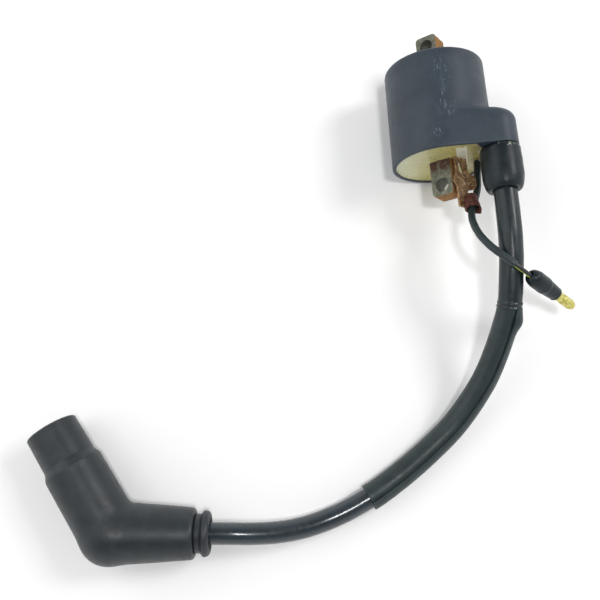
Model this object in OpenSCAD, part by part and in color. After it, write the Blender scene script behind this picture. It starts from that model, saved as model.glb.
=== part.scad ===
// Ignition coil of a small engine: potted coil, high-tension lead and elbow plug cap, all in millimetres.
// The coil lies on its side at z = 0 with its core along Y, rolled so that the lead tower points up and right.

/* [Coil case] */
// Outside diameter of the case at its open end
case_open_d = 39.6; // [38.8:0.1:40.4]
// Outside diameter of the case at its closed end
case_closed_d = 38.6; // [38.0:0.1:39.2]
// Length of the case
case_len = 39.7; // [38:0.1:41]
// Thickness of the side wall
case_wall = 1.5; // [1.2:0.1:1.6]
// Thickness of the closed end
end_wall = 2.0; // [1.6:0.1:2.4]
// Radius of the rounded edge of the closed end
end_round = 1.4; // [0.8:0.1:1.8]
// Depth of the resin's surface below the rim
resin_recess = 1.0; // [0.5:0.1:1.5]
// Roll of the lead tower up from the table, in degrees
roll = 36; // [32:1:38]

/* [Lead tower] */
// Distance from the core's axis to the tower's axis
tower_offset = 22.6; // [22.4:0.1:23]
// Outside diameter of the tower
tower_d = 14.4; // [14:0.1:14.8]
// Height of the tower above the rim
tower_h = 14.5; // [14:0.5:16]
// Length of the spigot that the rubber boot grips
spigot_len = 9; // [8:0.5:9]
// Outside diameter of the spigot
spigot_d = 11.2; // [10.8:0.1:11.6]

/* [Core] */
// Width of the laminated core
core_w = 8.4; // [8:0.1:8.8]
// Thickness of the stack of laminations
core_t = 7.8; // [7.4:0.1:8.0]
// How far the core stands out of the open end
lug_open = 13.3; // [12.5:0.1:14]
// How far the core stands out of the closed end
lug_closed = 13.4; // [13:0.1:14.2]
// Diameter of the two mounting holes
lug_hole_d = 5.3; // [5.1:0.1:5.5]
// Distance from each end of the core to its hole
hole_to_end = 4.2; // [4.0:0.1:4.6]
// Number of packets in the stack
packets = 4; // [2:1:4]

/* [High-tension lead] */
// Diameter of the lead's insulation
lead_d = 8.0; // [7.8:0.1:8.0]
// Diameter of its stranded conductor
conductor_d = 2.6; // [2.2:0.1:2.8]
// Outside diameter of the upper sleeve
upper_sleeve_d = 8.9; // [8.7:0.1:8.9]
// Outside diameter of the lower sleeve where its slit is closed
lower_sleeve_d = 8.7; // [8.6:0.1:8.9]
// Outside diameter of the lower sleeve where its slit stands open
lower_sleeve_open_d = 9.8; // [9.2:0.1:9.8]

/* [Primary lead] */
// Diameter of the primary wire
wire_d = 1.6; // [1.4:0.1:1.6]
// Outside diameter of the wire's sleeve
wire_sleeve_d = 2.8; // [2.6:0.1:2.8]
// Diameter of the bullet terminal
bullet_d = 3.9; // [3.8:0.05:3.9]

/* [Plug cap] */
// Diameter of the cap's body at the elbow
cap_d = 22.5; // [22:0.1:22.5]
// Diameter of the body at the lead's end
cap_neck_d = 18.3; // [17.8:0.1:18.6]
// Diameter of the plug end
plug_end_d = 19.3; // [19:0.1:19.6]
// Diameter of the mouth that grips the plug's insulator
mouth_d = 10.4; // [10:0.1:10.8]
// Angle between the cap's branch and its arm, in degrees
elbow_angle = 123; // [118:1:125]
// Elbow to the end of the cable seal
branch_len = 36.2; // [36:0.1:37]
// Elbow to the tip of the plug end
arm_len = 44.7; // [44:0.1:46]

/* [Hidden] */
$fn = 64;

case_r = case_open_d / 2;
case_closed_r = case_closed_d / 2;
tower_r = tower_d / 2;
spigot_r = spigot_d / 2;
lead_r = lead_d / 2;
conductor_r = conductor_d / 2;
slack = 0.05;
lacquer = 0.04;

// Earth strap, in the coil's own frame: a plate that leans off the core's side and a band round the primary lead
strap_t = 1.0;
plate_high = 3;
plate_gap = 1.0;
plate_w = 6.4;
plate_lean = 14;
plate_root = 4;
plate_end = 14.5;
slot_r = 1.3;
tab_start = 6;
tab_end = 11.5;
tab_reach = 2.4;
tab_drop = 0.8;
tongue_w = 5;
link_w = 3;
link_len = 5.8;
finger_len = 4.6;
finger_reach = 2.3;
band_at = [9, -17.35, -2];
band_tilt = 30;
band_len = 6;
band_r = 2.3;
band_flat = 2;
band_edge_r = 2.0;
strap_reach = -band_at[1] + band_len / 2 * cos(band_tilt) + band_r * sin(band_tilt);

// The origin is under the middle of the coil without its leads
tower_x_rel = tower_offset * cos(roll);
coil_x = -(tower_x_rel + tower_r - case_r) / 2;
rim_y = -(lug_closed + case_len - strap_reach) / 2;
coil_z = case_r;
tower_x = coil_x + tower_x_rel;
tower_z = coil_z + tower_offset * sin(roll);

// Inside the case
pack_start = 5;
pack_end = case_len - end_wall;
pack_r = 15.6;
flange_t = 0.8;
primary_bore_r = 6.0;
primary_tube_r = 6.8;
primary_wire_r = 8.8;
secondary_tube_r = 10.2;
sections = 5;
section_pitch = (pack_end - pack_start - flange_t) / sections;
socket_depth = 9;
terminal_t = 2.5;
web_r = case_r - 0.6;
web_top = tower_h - 4;

// Plug cap: its elbow, and the heading of the branch that the lead enters by
cap_elbow = [-137.3, -144.6, 11.3];
cap_yaw = -4.4;
lead_in_cap = 14;
arm_bore_r = 7.2;

function cap_point(s) = cap_elbow + s * [cos(cap_yaw), sin(cap_yaw), 0];

// Route of the high-tension lead, from the tower to the cap
ht_route = [
    [tower_x, rim_y + socket_depth, tower_z],
    [tower_x, rim_y - spigot_len - 0.5, tower_z],
    [tower_x, rim_y - 24, tower_z],
    [15.3, -50, 32.5],
    [14.8, -60, 30.7],
    [14, -70, 27.8],
    [13.3, -75.5, 25.8],
    [11.8, -81, 23.2],
    [8.7, -90, 18.1],
    [4.6, -99, 13.3],
    [-1.5, -108, 9],
    [-9, -116.5, 6.2],
    [-18, -124, 5],
    [-28, -131.2, 5],
    [-38, -137.4, 5],
    [-42, -139.5, 5],
    [-51, -143.6, 5],
    [-60, -146.6, 5.5],
    [-68.5, -148.4, 6.9],
    [-77.5, -149, 8.9],
    [-87, -148.6, 10.6],
    cap_point(44),
    cap_point(38),
    cap_point(lead_in_cap)];
upper_sleeve_rings = [1, 6];
lower_sleeve_rings = [6, 15];
conductor_rings = [1, 22];

// Route of the primary wire, from the resin through the strap's band and over the lead to the bullet terminal
connector_at = [20, -65, 33.5];
connector_yaw = -27.5;
connector_droop = 34.5;
connector_axis = [
    cos(connector_yaw) * cos(connector_droop),
    sin(connector_yaw) * cos(connector_droop),
    -sin(connector_droop)];
primary_route = [
    [10.3, -12.5, 19],
    [10.3, -17, 19],
    [9.6, -22, 19.4],
    [9, -26, 20.2],
    [7.6, -30, 21.8],
    [5.6, -34, 23.8],
    [4, -38, 26],
    [3.4, -42, 28.4],
    [4.2, -48, 32],
    [6.4, -53, 34.9],
    [9, -56.4, 36.4],
    [12, -59.4, 37.2],
    connector_at - 6 * connector_axis,
    connector_at + 9 * connector_axis];
primary_sleeve_rings = [1, 12];

// Turns a child so that its Z runs along +Y
module along_y() rotate([-90, 0, 0]) children();
// Turns a child so that its Z runs along +X
module along_x() rotate([0, 90, 0]) children();
// The coil's own frame: rim in the plane y = 0, closed end towards +Y, tower towards +X
module coil_frame() translate([coil_x, rim_y, coil_z]) rotate([0, -roll, 0]) children();
// The cap's branch lies along +X from the elbow
module branch_frame() translate(cap_elbow) rotate([0, 0, cap_yaw]) children();
// The cap's arm lies along +X from the elbow
module arm_frame() branch_frame() rotate([0, 0, elbow_angle]) children();
// The bullet connector lies along +X from the end of its rubber sleeve
module connector_frame() {
    translate(connector_at) rotate([0, connector_droop, connector_yaw]) children();
}

// A plain ring between two heights
module ring(r_out, r_in, z_low, z_high) {
    translate([0, 0, z_low]) difference() {
        cylinder(h = z_high - z_low, r = r_out);
        translate([0, 0, -1]) cylinder(h = z_high - z_low + 2, r = r_in);
    }
}

// A turned post of height h, with a rounded top edge and any taper between its two radii
module rounded_post(r_low, r_high, h, edge) {
    steps = 8;
    round_off = [for (i = [0 : steps])
        let (a = 90 * i / steps) [r_high - edge + edge * cos(a), h - edge + edge * sin(a)]];
    rotate_extrude() polygon(concat([[0, 0], [r_low, 0]], round_off, [[0, h]]));
}

// Web between the cup and the tower: two straight walls that touch both circles, cut off at x = reach
module tangent_web(body_r, end_r, reach, height) {
    beta = acos((body_r - end_r) / tower_offset);
    near = body_r * [cos(beta), sin(beta)];
    far = [tower_offset, 0] + end_r * [cos(beta), sin(beta)];
    corner = near + (far - near) * (reach - near[0]) / (far[0] - near[0]);
    linear_extrude(height = height) {
        polygon([near, corner, [corner[0], -corner[1]], [near[0], -near[1]], [0, 0]]);
    }
}

// A vector's length, its direction, and the vector square to two others
function unit(v) = v / norm(v);
function heading(route, i) =
    unit(route[min(i + 1, len(route) - 1)] - route[max(i - 1, 0)]);
function across(t) = unit(cross(t, [0, 0, 1]));

// Corners of one ring of a tube
function tube_ring(route, i, r, sides) =
    let (t = heading(route, i), u = across(t), v = cross(u, t))
    [for (k = [0 : sides - 1]) route[i] + r * (cos(360 * k / sides) * u + sin(360 * k / sides) * v)];

// A tube swept along rings first to last of a route; radii are given at both ends, and r_in 0 makes it solid
module swept_tube(route, first, last, r_first, r_last, r_in, sides) {
    n = last - first;
    outer = [for (i = [0 : n]) each tube_ring(route, first + i, r_first + (r_last - r_first) * i / n, sides)];
    inner = r_in == 0 ? [] : [for (i = [0 : n]) each tube_ring(route, first + i, r_in, sides)];
    hole = len(outer);
    end = n * sides;
    skin = [for (i = [0 : n - 1], k = [0 : sides - 1])
        let (a = i * sides + k, b = i * sides + (k + 1) % sides)
        each [[a, b, b + sides], [a, b + sides, a + sides]]];
    bore = r_in == 0 ? [] : [for (i = [0 : n - 1], k = [0 : sides - 1])
        let (a = hole + i * sides + k, b = hole + i * sides + (k + 1) % sides)
        each [[b, a, b + sides], [b + sides, a, a + sides]]];
    caps = r_in == 0
        ? [[for (k = [sides - 1 : -1 : 0]) k], [for (k = [0 : sides - 1]) end + k]]
        : [for (k = [0 : sides - 1]) let (m = (k + 1) % sides) each [
            [m, k, hole + k, hole + m],
            [end + k, end + m, hole + end + m, hole + end + k]]];
    polyhedron(points = concat(outer, inner), faces = concat(skin, bore, caps));
}

// Outside of the cup, with its slight draft and the rounded edge of the closed end
module cup_outside() rounded_post(case_r, case_closed_r, case_len, end_round);

// Inside of the cup, open at the rim
module cup_inside() {
    translate([0, 0, -1]) cylinder(h = pack_end + 1, r1 = case_r - case_wall, r2 = case_closed_r - case_wall);
}

// Moulded plastic case: cup, tower and the spigot under the tower
module case() {
    color("#454c57") coil_frame() difference() {
        along_y() difference() {
            union() {
                cup_outside();
                tangent_web(web_r, tower_r - 0.1, tower_offset + 3, tower_h - 1.5);
                translate([tower_offset, 0, 0]) rounded_post(tower_r, tower_r, tower_h, 5);
                translate([tower_offset, 0, -spigot_len]) cylinder(h = spigot_len + 1, r = spigot_r);
            }
            cup_inside();
            translate([0, 0, -1]) web_inside(web_top + 1);
            translate([tower_offset, 0, -spigot_len - 1]) {
                cylinder(h = spigot_len + 1 + socket_depth + terminal_t, r = lead_r + slack);
            }
        }
        output_link_body();
        translate([-core_w / 2, pack_end - 1, -core_t / 2]) cube([core_w, end_wall + 2, core_t]);
    }
}

// Cast resin between the case and the windings
module potting() {
    color("#a7a26b") coil_frame() difference() {
        along_y() difference() {
            union() {
                cup_fill();
                translate([0, 0, resin_recess]) web_inside(web_top - resin_recess);
            }
            translate([0, 0, pack_start]) cylinder(h = case_len, r = pack_r);
        }
        output_link_body();
        core_bar();
        strap_plate();
        primary_tunnel();
    }
}

// Resin that fills the cup
module cup_fill() {
    taper = (case_closed_r - case_r) / (pack_end + 1);
    r_rim = case_r - case_wall;
    translate([0, 0, resin_recess]) {
        cylinder(
            h = pack_end - resin_recess,
            r1 = r_rim + taper * (resin_recess + 1),
            r2 = case_closed_r - case_wall);
    }
}

// Hollow of the web, from the cup to the wall of the lead's socket
module web_inside(height) {
    tangent_web(web_r - case_wall, tower_r - 0.1 - case_wall, tower_offset - lead_r - 1, height);
}

// Hole that the primary wire leaves the resin by, in the coil's own frame
module primary_tunnel() {
    rotate([0, roll, 0]) translate([-coil_x, -rim_y, -coil_z]) {
        translate(primary_route[0]) rotate([90, 0, 0]) cylinder(h = 4, r = wire_d / 2 + slack);
    }
}

// The whole bar before it is drilled
module core_bar() {
    translate([-core_w / 2, -lug_open, -core_t / 2]) {
        cube([core_w, case_len + lug_open + lug_closed, core_t]);
    }
}

// Stack of steel laminations with a mounting hole at each end
module core_laminations() {
    length = case_len + lug_open + lug_closed;
    pitch = core_t / packets;
    packet_t = pitch - lacquer;
    chamfer = 1.2;
    color("#7d7d6b") coil_frame() for (i = [0 : packets - 1]) {
        translate([0, -lug_open, -core_t / 2 + i * pitch]) difference() {
            linear_extrude(height = packet_t) polygon([
                [-core_w / 2 + chamfer, 0], [core_w / 2 - chamfer, 0], [core_w / 2, chamfer],
                [core_w / 2, length - chamfer], [core_w / 2 - chamfer, length],
                [-core_w / 2 + chamfer, length], [-core_w / 2, length - chamfer], [-core_w / 2, chamfer]]);
            for (y = [hole_to_end, length - hole_to_end]) {
                translate([0, y, -1]) cylinder(h = packet_t + 2, d = lug_hole_d);
            }
        }
    }
}

// Spool of the primary winding, which the core passes through
module primary_bobbin() {
    color("#2b2b2b") coil_frame() along_y() {
        ring(primary_tube_r, primary_bore_r, pack_start, pack_end);
        ring(primary_wire_r + 0.6, primary_tube_r, pack_start, pack_start + flange_t);
        ring(primary_wire_r + 0.6, primary_tube_r, pack_end - flange_t, pack_end);
    }
}

// Few turns of thick copper wire
module primary_winding() {
    color("#b8622d") coil_frame() along_y() {
        ring(primary_wire_r, primary_tube_r, pack_start + flange_t, pack_end - flange_t);
    }
}

// Spool of the secondary winding, divided into sections by thin walls
module secondary_bobbin() {
    color("#d8d2c0") coil_frame() along_y() {
        ring(secondary_tube_r, primary_wire_r + 0.6, pack_start, pack_end);
        for (i = [0 : sections]) {
            z = pack_start + i * section_pitch;
            ring(pack_r, secondary_tube_r, z, z + flange_t);
        }
    }
}

// Thousands of turns of fine wire, one ring in each section
module secondary_winding() {
    color("#9c4a21") coil_frame() along_y() for (i = [0 : sections - 1]) {
        z = pack_start + i * section_pitch + flange_t;
        ring(pack_r - 1, secondary_tube_r, z, z + section_pitch - flange_t);
    }
}

// Brass strip from the secondary winding to the tower terminal
module output_link_body() {
    start = pack_r - 0.9;
    translate([start, socket_depth + 0.2, -1.2]) cube([tower_offset - lead_r - start, 0.6, 2.4]);
}

module output_link() {
    color("#c9a227") coil_frame() output_link_body();
}

// Brass disc with a spike that stands in the hollow end of the lead
module tower_terminal() {
    color("#c9a227") coil_frame() along_y() translate([tower_offset, 0, socket_depth]) {
        cylinder(h = terminal_t, r = lead_r);
        translate([0, 0, -6]) cylinder(h = 6.5, r = 0.7);
    }
}

// Plate of the earth strap: an oval hole near the resin, a tab curled outwards and a tongue to the band
module strap_plate() {
    slot = [[-4.8, -3.6], [-2.6, -2.6], [-3.6, -3.0]];
    root = core_w / 2 + plate_gap;
    translate([root, 0, plate_high]) rotate([0, -plate_lean, 0]) {
        difference() {
            translate([0, -tab_end, -plate_w]) cube([strap_t, tab_end + plate_root, plate_w]);
            for (place = slot) {
                translate([-1, place[0], place[1]]) along_x() cylinder(h = strap_t + 2, r = slot_r);
            }
        }
        translate([0, -tab_end, -plate_w - tab_drop]) cube([tab_reach, tab_end - tab_start, strap_t]);
        translate([0, -plate_end, -tongue_w]) cube([strap_t, plate_end - tab_end + 1, tongue_w]);
    }
    translate([root, band_at[1] - 2, -1]) cube([strap_t, link_len, link_w]);
    translate([root, band_at[1] - 2, 0]) cube([finger_reach, finger_len, strap_t]);
}

// Crimped band of the strap, flattened where it is closed round the primary lead
module strap_band() {
    difference() {
        rotate([0, roll, 0]) rotate([-band_tilt, 0, 0]) along_y() translate([-band_flat, 0, -band_len / 2]) {
            cylinder(h = band_len, r = band_edge_r);
            translate([band_flat, 0, 0]) cylinder(h = band_len, r = band_r);
            translate([0, 0.1 - band_edge_r, 0]) cube([band_flat, 2 * (band_edge_r - 0.1), band_len]);
        }
        rotate([-band_tilt, 0, 0]) along_y() {
            cylinder(h = 3 * band_len, r = wire_sleeve_d / 2 + 0.2, center = true);
        }
    }
}

module earth_strap() {
    color("#8f6f4a") coil_frame() {
        strap_plate();
        translate(band_at) strap_band();
    }
}

// Rubber boot that slides on the lead and grips the tower's spigot
module tower_boot() {
    color("#323a44") coil_frame() along_y() translate([tower_offset, 0, 0]) difference() {
        union() {
            translate([0, 0, -12.5]) cylinder(h = 12.3, r1 = 7.5, r2 = 7.7);
            translate([0, 0, -16.6]) cylinder(h = 4.1, r1 = 5.6, r2 = 7.5);
        }
        translate([0, 0, -spigot_len - 0.2]) cylinder(h = spigot_len + 1, r = spigot_r + slack);
        translate([0, 0, -20]) cylinder(h = 20, r = upper_sleeve_d / 2 + slack);
    }
}

module ht_lead() {
    last = len(ht_route) - 1;
    color("#3a434c") swept_tube(ht_route, 0, last, lead_r, lead_r, conductor_r, 12);
}

module ht_conductor() {
    color("#b87333") {
        swept_tube(ht_route, conductor_rings[0], conductor_rings[1], conductor_r, conductor_r, 0, 12);
    }
}

module upper_sleeve() {
    r = upper_sleeve_d / 2;
    color("#2f3842") {
        swept_tube(ht_route, upper_sleeve_rings[0], upper_sleeve_rings[1], r, r, lead_r, 12);
    }
}

module lower_sleeve() {
    color("#343e40") {
        swept_tube(
            ht_route, lower_sleeve_rings[0], lower_sleeve_rings[1],
            lower_sleeve_d / 2, lower_sleeve_open_d / 2, lead_r, 12);
    }
}

module primary_wire() {
    color("#1d2022") {
        swept_tube(primary_route, 0, len(primary_route) - 1, wire_d / 2, wire_d / 2, 0, 8);
    }
}

module primary_sleeve() {
    r = wire_sleeve_d / 2;
    color("#2e3a3a") {
        swept_tube(primary_route, primary_sleeve_rings[0], primary_sleeve_rings[1], r, r, wire_d / 2, 8);
    }
}

// Rubber sleeve that slides forward over the bullet terminal and covers the joint
module connector_sleeve() {
    color("#262b2f") connector_frame() along_x() difference() {
        union() {
            cylinder(h = 1.2, r1 = 2.2, r2 = 3);
            translate([0, 0, 1.2]) cylinder(h = 2, r1 = 3, r2 = 3.35);
            translate([0, 0, 3.2]) cylinder(h = 6.3, r = 3.35);
            translate([0, 0, 9.5]) cylinder(h = 6.3, r1 = 3.1, r2 = 2.7);
        }
        translate([0, 0, -1]) cylinder(h = 20, r = wire_d / 2 + slack);
        translate([0, 0, 1.4]) cylinder(h = 20, r = bullet_d / 2 + slack);
    }
}

// Brass bullet: a barrel crimped on the wire, a snap groove and a rounded tip
module bullet_terminal() {
    r = bullet_d / 2;
    color("#b5953c") connector_frame() along_x() difference() {
        union() {
            translate([0, 0, 7]) cylinder(h = 6, r = 1.5);
            translate([0, 0, 13]) cylinder(h = 5.2, r = r);
            translate([0, 0, 18.2]) cylinder(h = 1.2, r = 1.55);
            translate([0, 0, 19.4]) cylinder(h = 5.6, r = r);
            translate([0, 0, 25]) cylinder(h = 1.4, r1 = r, r2 = 1.2);
        }
        translate([0, 0, 6]) cylinder(h = 3, r = wire_d / 2);
        translate([0, 0, 20]) cylinder(h = 8, r = 0.8);
    }
}

// Elbow moulding of the plug cap
module cap_shell() {
    color("#2c3236") difference() {
        union() {
            translate(cap_elbow) sphere(r = cap_d / 2);
            branch_frame() along_x() cylinder(h = 29.4, r1 = cap_d / 2, r2 = cap_neck_d / 2);
            branch_frame() along_x() translate([0, 0, 29.4]) cylinder(h = 1.2, r1 = cap_neck_d / 2, r2 = 8);
            arm_frame() along_x() cylinder(h = 27.6, r1 = cap_d / 2, r2 = 11);
            arm_frame() along_x() translate([0, 0, 27.6]) cylinder(h = 3, r1 = 11, r2 = 9.9);
            arm_frame() along_x() translate([0, 0, 30]) cylinder(h = arm_len - 30, r1 = 9.95, r2 = plug_end_d / 2);
        }
        arm_frame() along_x() translate([0, 0, -4]) cylinder(h = arm_len + 10, r = arm_bore_r);
        branch_frame() along_x() cylinder(h = 40, r = lead_r + 0.2);
        branch_frame() along_x() translate([0, 0, 24]) cylinder(h = 20, r = 6);
    }
}

// Rubber seal with a rounded flange where the lead enters the cap
module cable_seal() {
    color("#23282c") branch_frame() along_x() difference() {
        union() {
            translate([0, 0, 24]) cylinder(h = 6.6, r = 6);
            translate([0, 0, 30.6]) cylinder(h = 2.2, r = 6.95);
            translate([0, 0, 32.8]) cylinder(h = 0.8, r1 = 7.4, r2 = 8.2);
            translate([0, 0, 33.6]) cylinder(h = 1.3, r = 8.2);
            translate([0, 0, 34.9]) cylinder(h = branch_len - 34.9, r1 = 8.2, r2 = 6.2);
        }
        translate([0, 0, 20]) cylinder(h = 30, r = lead_r + slack);
    }
}

// Rubber seal in the mouth that grips the spark plug's insulator
module plug_seal() {
    color("#1e2225") arm_frame() along_x() {
        ring(arm_bore_r, mouth_d / 2, 32, arm_len - 0.6);
    }
}

// Insulating tube that holds the resistor and the plug terminal in the arm
module cap_insulator() {
    color("#4a3a2c") arm_frame() along_x() difference() {
        translate([0, 0, 5]) cylinder(h = 27, r = arm_bore_r);
        translate([0, 0, 4]) cylinder(h = 16, r = 3.1);
        translate([0, 0, 20]) cylinder(h = 20, r = 4.4);
    }
}

// Suppressor resistor: a ceramic rod with a metal cap at each end
module resistor() {
    color("#d9cdb8") arm_frame() along_x() {
        translate([0, 0, 5]) cylinder(h = 11, r = 3.0);
    }
}

// Spring that presses the resistor against the screw
module resistor_spring() {
    turns = 4;
    color("#b9bcc0") arm_frame() along_x() for (i = [0 : turns - 1]) {
        translate([0, 0, 16.35 + i * 0.8]) rotate_extrude() translate([2.4, 0]) circle(r = 0.35, $fn = 16);
    }
}

// Brass socket that snaps over the plug's terminal nut
module plug_terminal() {
    color("#b5953c") arm_frame() along_x() difference() {
        translate([0, 0, 20]) cylinder(h = 11, r = 4.35);
        translate([0, 0, 21.5]) cylinder(h = 12, r = 3.2);
        ring(4.6, 3.9, 27, 28.2);
    }
}

// Wire ring in the socket's groove
module retaining_clip() {
    color("#b9bcc0") arm_frame() along_x() translate([0, 0, 27.6]) {
        rotate_extrude() translate([4.15, 0]) circle(r = 0.25, $fn = 16);
    }
}

// Brass screw that stands in the end of the lead and meets the resistor with its head
module cable_screw() {
    color("#b5953c") {
        branch_frame() along_x() cylinder(h = lead_in_cap + 6, r = 1.2);
        branch_frame() along_x() cylinder(h = 3, r = 3);
        arm_frame() along_x() cylinder(h = 5, r = 2.2);
    }
}

case();
potting();
core_laminations();
primary_bobbin();
primary_winding();
secondary_bobbin();
secondary_winding();
output_link();
tower_terminal();
earth_strap();
tower_boot();
ht_lead();
ht_conductor();
upper_sleeve();
lower_sleeve();
primary_wire();
primary_sleeve();
connector_sleeve();
bullet_terminal();
cap_shell();
cable_seal();
plug_seal();
cap_insulator();
resistor();
resistor_spring();
plug_terminal();
retaining_clip();
cable_screw();
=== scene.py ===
"""Looks of a small engine's ignition coil, its high-tension lead and its plug cap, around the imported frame.

Sizes are in millimetres, and MM turns them into the metres of the frame.
"""

import math

import bpy
import numpy as np
from mathutils import Matrix, Vector, noise


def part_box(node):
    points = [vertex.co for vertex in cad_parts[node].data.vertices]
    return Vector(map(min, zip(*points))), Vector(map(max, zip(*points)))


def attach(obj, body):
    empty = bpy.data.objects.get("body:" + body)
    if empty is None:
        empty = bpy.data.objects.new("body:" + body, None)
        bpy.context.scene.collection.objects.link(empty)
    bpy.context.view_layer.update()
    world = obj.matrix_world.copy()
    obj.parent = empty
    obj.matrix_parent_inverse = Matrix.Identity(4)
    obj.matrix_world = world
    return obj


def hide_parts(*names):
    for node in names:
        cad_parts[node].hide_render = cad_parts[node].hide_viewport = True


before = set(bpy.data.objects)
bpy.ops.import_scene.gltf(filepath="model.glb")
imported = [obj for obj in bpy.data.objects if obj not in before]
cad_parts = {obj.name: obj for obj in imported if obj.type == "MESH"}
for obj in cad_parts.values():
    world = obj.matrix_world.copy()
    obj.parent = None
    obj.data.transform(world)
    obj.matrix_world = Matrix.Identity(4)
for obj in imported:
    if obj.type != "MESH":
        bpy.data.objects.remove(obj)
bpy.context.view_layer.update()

MM = 0.001
TURN = 2 * math.pi

# Coil case, as the frame has it
case_low, case_high = (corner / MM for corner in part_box("case"))
case_r = 19.8
case_closed_r = 19.3
case_len = 39.7
case_wall = 1.5
end_round = 1.4
tower_offset = 22.6
tower_r = 7.2
tower_h = 14.5
resin_depth = 1.0
roll = math.radians(36)
rim_y = case_high.y - case_len
coil_at = Vector((case_low.x + case_r, rim_y, case_low.z + case_r))

# Core
core_w = 8.4
core_t = 7.8
lug_open = 13.3
lug_closed = 13.4
lug_hole_r = 2.65
hole_to_end = 4.2
sheet_count = 15

# Earth strap, in the coil's frame
plate_high = 3.0
plate_gap = 1.0
plate_w = 6.4
plate_lean = 14
tab_w = 2.2
tongue_w = 5.0
slot_y = -3.2
strap_start = 1.5
strap_len = 20.5
band_at = Vector((9, -17.35, -2))
band_tilt = 30

# High-tension lead and its sleeves
lead_r = 4.0
tower_x = coil_at.x + tower_offset * math.cos(roll)
tower_z = coil_at.z + tower_offset * math.sin(roll)
cap_elbow = Vector((-137.3, -144.6, 11.3))
cap_yaw = math.radians(-4.4)
elbow_angle = math.radians(123)
branch_end = 30.6
arm_len = 44.7


def cap_point(s):
    """A point s along the cap's branch from its elbow."""
    return (cap_elbow.x + s * math.cos(cap_yaw), cap_elbow.y + s * math.sin(cap_yaw), cap_elbow.z)


HT_ROUTE = [
    (tower_x, rim_y + 9, tower_z),
    (tower_x, rim_y - 9.5, tower_z),
    (tower_x, rim_y - 24, tower_z),
    (15.3, -50, 32.5),
    (14.8, -60, 30.7),
    (14, -70, 27.8),
    (13.3, -75.5, 25.8),
    (11.8, -81, 23.2),
    (8.7, -90, 18.1),
    (4.6, -99, 13.3),
    (-1.5, -108, 9),
    (-9, -116.5, 6.2),
    (-18, -124, 5),
    (-28, -131.2, 5),
    (-38, -137.4, 5),
    (-42, -139.5, 5),
    (-51, -143.6, 5),
    (-60, -146.6, 5.5),
    (-68.5, -148.4, 6.9),
    (-77.5, -149, 8.9),
    (-87, -148.6, 10.6),
    cap_point(44),
    cap_point(38),
    cap_point(14),
]
UPPER_SLEEVE = (1, 6)
LOWER_SLEEVE = (6, 15)

# Primary lead and its bullet connector
wire_r = 0.8
wire_sleeve_r = 1.4
connector_at = Vector((20, -65, 33.5))
connector_yaw = math.radians(-27.5)
connector_droop = math.radians(34.5)
CONNECTOR = (
    Matrix.Translation(connector_at)
    @ Matrix.Rotation(connector_yaw, 4, "Z")
    @ Matrix.Rotation(connector_droop, 4, "Y")
)
PRIMARY_ROUTE = [
    (10.3, -12.5, 19),
    (10.3, -17, 19),
    (9.6, -22, 19.4),
    (9, -26, 20.2),
    (7.6, -30, 21.8),
    (5.6, -34, 23.8),
    (4, -38, 26),
    (3.4, -42, 28.4),
    (4.2, -48, 32),
    (6.4, -53, 34.9),
    (9, -56.4, 36.4),
    (12, -59.4, 37.2),
    tuple(CONNECTOR @ Vector((-6, 0, 0))),
    tuple(CONNECTOR @ Vector((9, 0, 0))),
]
PRIMARY_SLEEVE = (1, 12)

# Local frames: the coil's rim lies in its y = 0 plane, and the others run along their X
COIL = Matrix.Translation(coil_at) @ Matrix.Rotation(-roll, 4, "Y")
TOWER = COIL @ Matrix.Translation((tower_offset, 0, 0)) @ Matrix.Rotation(-math.pi / 2, 4, "Z")
BRANCH = Matrix.Translation(cap_elbow) @ Matrix.Rotation(cap_yaw, 4, "Z")
ARM = BRANCH @ Matrix.Rotation(elbow_angle, 4, "Z")
ROW = Matrix.Identity(4)


# ---------------------------------------------------------------- camera


def make_camera():
    """A camera above the table, tipped a little towards the coil."""
    data = bpy.data.cameras.new("camera")
    data.lens = 45
    data.sensor_width = 36
    data.clip_start = 0.01
    camera = bpy.data.objects.new("camera", data)
    camera.location = Vector((-66.64, -120.6, 295)) * MM
    camera.rotation_euler = (math.radians(11.4), 0, math.radians(-4.25))
    bpy.context.scene.collection.objects.link(camera)
    bpy.context.scene.camera = camera


# ---------------------------------------------------------------- mesh helpers


def add_piece(name, points, faces, place, finish, body, nodes=(), slot=None, smooth=True):
    matrix = np.array(place)
    world = np.asarray(points, float) @ matrix[:3, :3].T + matrix[:3, 3]
    mesh = bpy.data.meshes.new(name)
    mesh.from_pydata((world * MM).tolist(), [], faces)
    mesh.validate()
    if smooth:
        mesh.shade_smooth()
    mesh.materials.append(finish)
    piece = bpy.data.objects.new(name, mesh)
    bpy.context.scene.collection.objects.link(piece)
    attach(piece, body)
    if nodes:
        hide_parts(*nodes)
    return piece


def join_shells(*shells):
    """Several (points, faces) pairs as one pair."""
    points, faces = [], []
    for shell_points, shell_faces in shells:
        start = len(points)
        points += [tuple(p) for p in shell_points]
        faces += [tuple(i + start for i in face) for face in shell_faces]
    return points, faces


def grid_faces(rows, columns, ring=True, flip=False):
    """Quads of a grid whose rows are rings."""
    faces = []
    for i in range(rows - 1):
        for k in range(columns if ring else columns - 1):
            a, b = i * columns + k, i * columns + (k + 1) % columns
            face = (a, b, b + columns, a + columns)
            faces.append(face[::-1] if flip else face)
    return faces


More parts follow.
